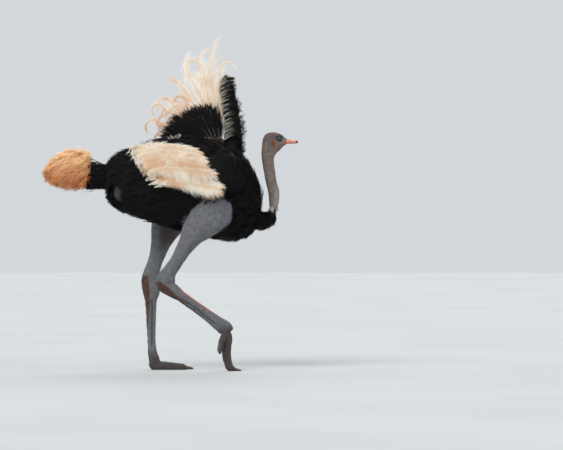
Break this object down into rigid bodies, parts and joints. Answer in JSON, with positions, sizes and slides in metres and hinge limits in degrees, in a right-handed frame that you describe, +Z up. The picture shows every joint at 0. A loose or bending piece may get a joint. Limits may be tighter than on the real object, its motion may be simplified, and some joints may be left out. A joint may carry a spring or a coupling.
{
  "type": "ostrich model",
  "caption": "Life-size still model of an adult male ostrich in mid stride, one wing raised in a fan of curled plumes and the other held half open on the flank.",
  "frame": {"origin": "middle of the bounding box, at floor level, under the soles", "axes": "+X towards the bill, +Y towards the bird's left, where the raised wing is, +Z up"},
  "size_m": [1.583, 0.6538, 2.0652],
  "materials": {
    "plume_black": "soft black plumage with a faint sheen",
    "plume_white": "loose cream and peach wing plumes",
    "plume_tail": "loose cinnamon tail plumes",
    "skin_head": "finely wrinkled skin with short down",
    "skin_neck": "finely wrinkled skin with sparse down",
    "skin_leg": "bare grey skin with horn scutes",
    "bill": "satin horn",
    "eye": "wet gloss",
    "claw": "satin horn"
  },
  "bodies": {
    "root": {"trunk": "plume_black", "tail_root": "plume_black", "tail_plumes": "plume_tail", "neck_base": "plume_black", "neck_lower": "skin_neck", "neck_middle": "skin_neck", "neck_upper": "skin_neck", "head": "skin_head", "bill_lower": "bill", "bill_upper": "bill", "eye_left": "eye", "eye_right": "eye", "drumstick_left": "skin_leg", "shank_left": "skin_leg", "big_toe_left": "skin_leg", "small_toe_left": "skin_leg", "claw_left": "claw", "drumstick_right": "skin_leg", "shank_right": "skin_leg", "big_toe_right": "skin_leg", "small_toe_right": "skin_leg", "claw_right": "claw", "wing_left_arm": "plume_black", "wing_left_coverts": "plume_black", "wing_left_plume_01": "plume_white", "wing_left_plume_02": "plume_white", "wing_left_plume_03": "plume_white", "wing_left_plume_04": "plume_white", "wing_left_plume_05": "plume_white", "wing_left_plume_06": "plume_white", "wing_left_plume_07": "plume_white", "wing_left_plume_08": "plume_white", "wing_left_plume_09": "plume_white", "wing_left_plume_10": "plume_white", "wing_left_plume_11": "plume_white", "wing_right_arm": "plume_black", "wing_right_plume_1": "plume_white", "wing_right_plume_2": "plume_white", "wing_right_plume_3": "plume_white", "wing_right_plume_4": "plume_white", "wing_right_plume_5": "plume_white", "wing_right_plume_6": "plume_white", "wing_right_plume_7": "plume_white", "wing_right_plume_8": "plume_white"}
  },
  "joints": []
}
